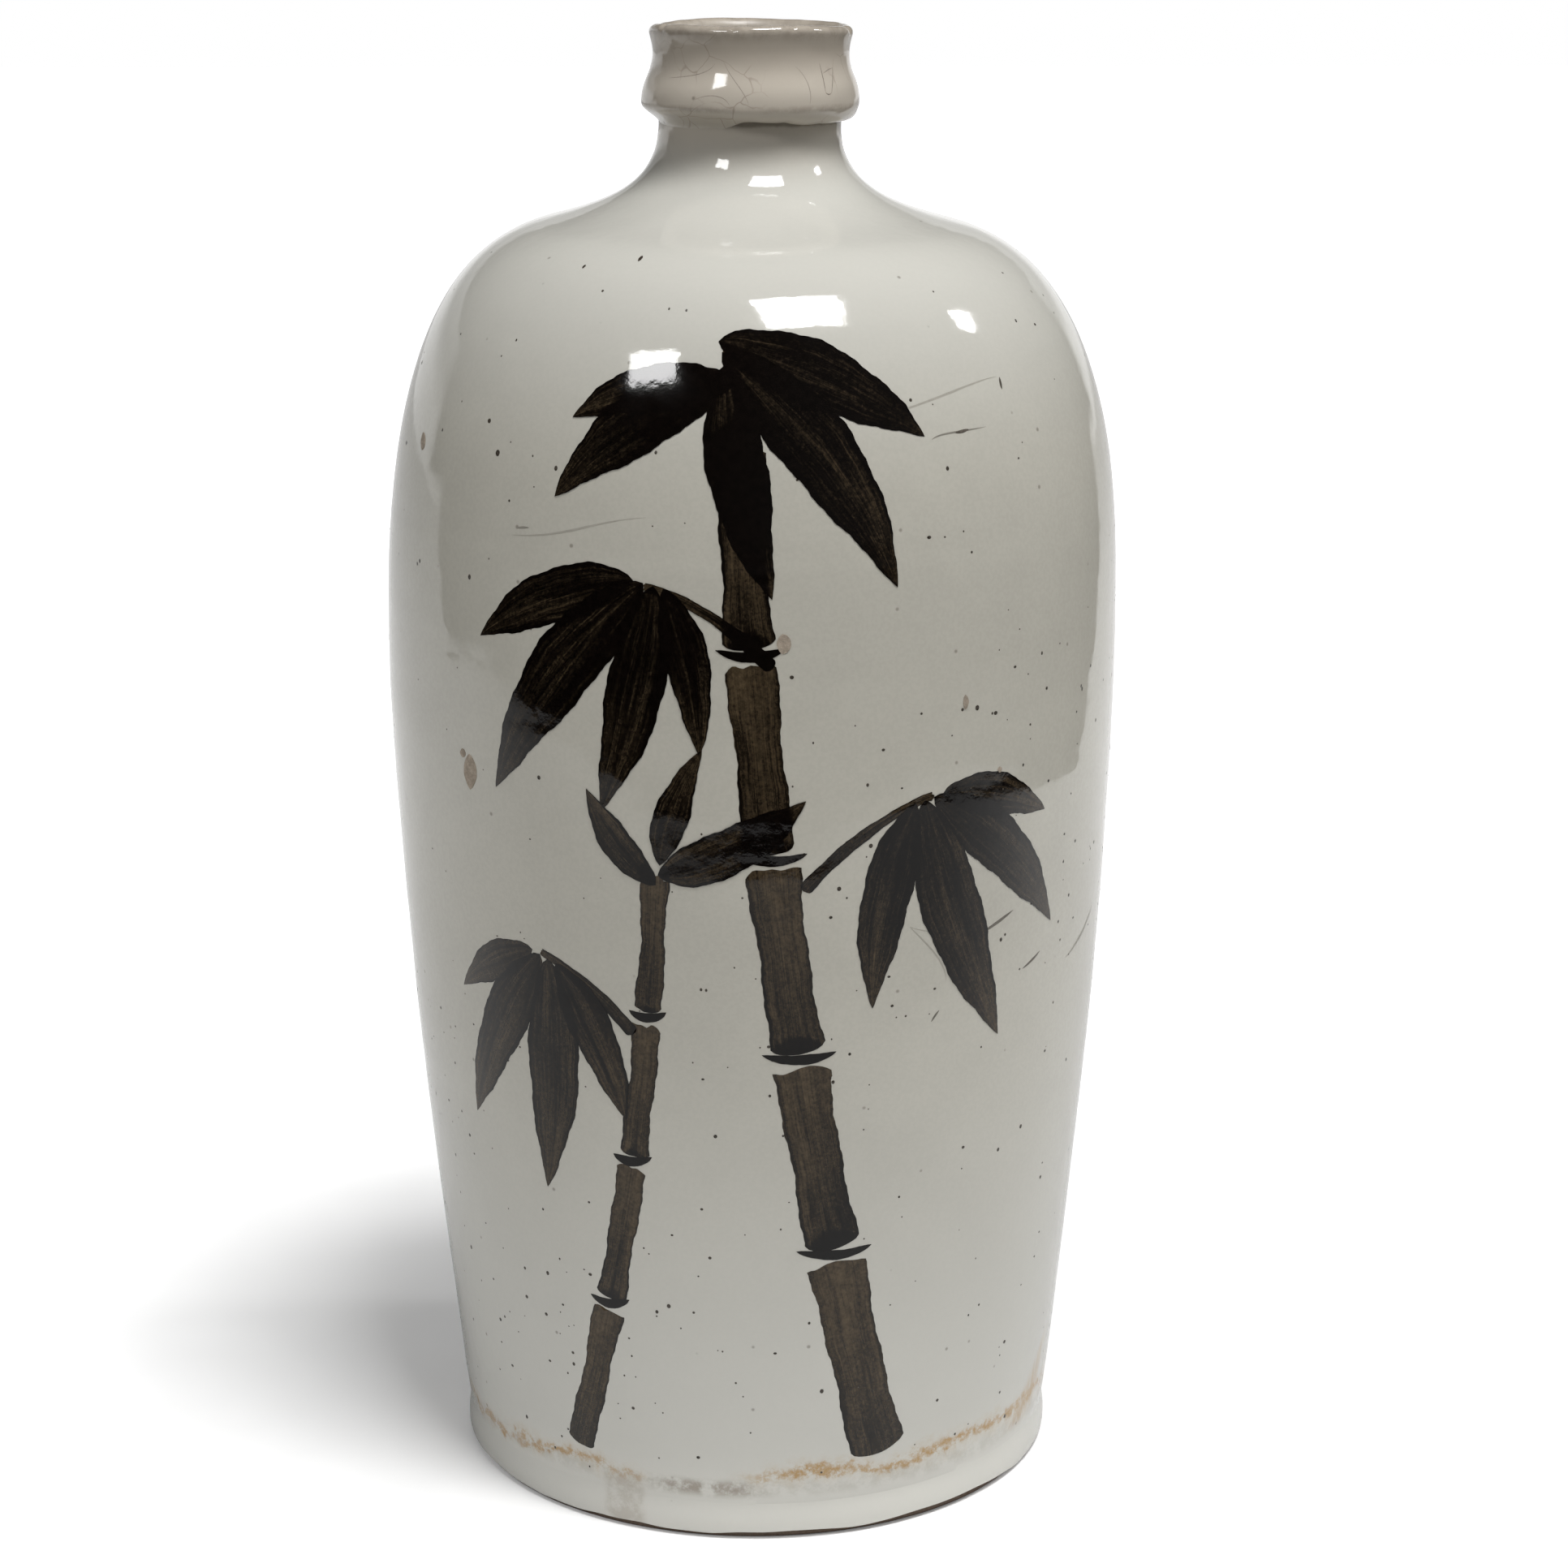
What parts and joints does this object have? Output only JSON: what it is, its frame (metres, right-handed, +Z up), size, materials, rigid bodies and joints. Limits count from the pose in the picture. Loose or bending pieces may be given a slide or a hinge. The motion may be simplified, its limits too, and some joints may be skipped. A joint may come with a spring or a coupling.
{
  "type": "sake bottle",
  "caption": "Tall glazed stoneware sake bottle with a full shoulder, short neck, collared mouth and bare foot ring, for storing and pouring.",
  "frame": {"origin": "middle of the foot, on the surface that the bottle stands on", "axes": "+Z up along the turning axis, -Y towards the viewer of the picture"},
  "size_m": [0.158, 0.1579, 0.3145],
  "materials": {
    "glaze": "glossy warm grey glaze with fine iron specks",
    "lining": "thin glossy inner glaze",
    "bare_clay": "unglazed fired stoneware",
    "slip": "fired joining slip"
  },
  "bodies": {
    "root": {"foot_ring": "bare_clay", "foot_slip": "slip", "base_dish": "bare_clay", "base_slip": "slip", "lower_wall": "bare_clay", "shoulder_slip": "slip", "shoulder_dome": "bare_clay", "neck_slip": "slip", "neck_tube": "bare_clay", "collar_slip": "slip", "mouth_collar": "bare_clay", "glaze_coat": "glaze", "inner_glaze": "lining"}
  },
  "joints": []
}
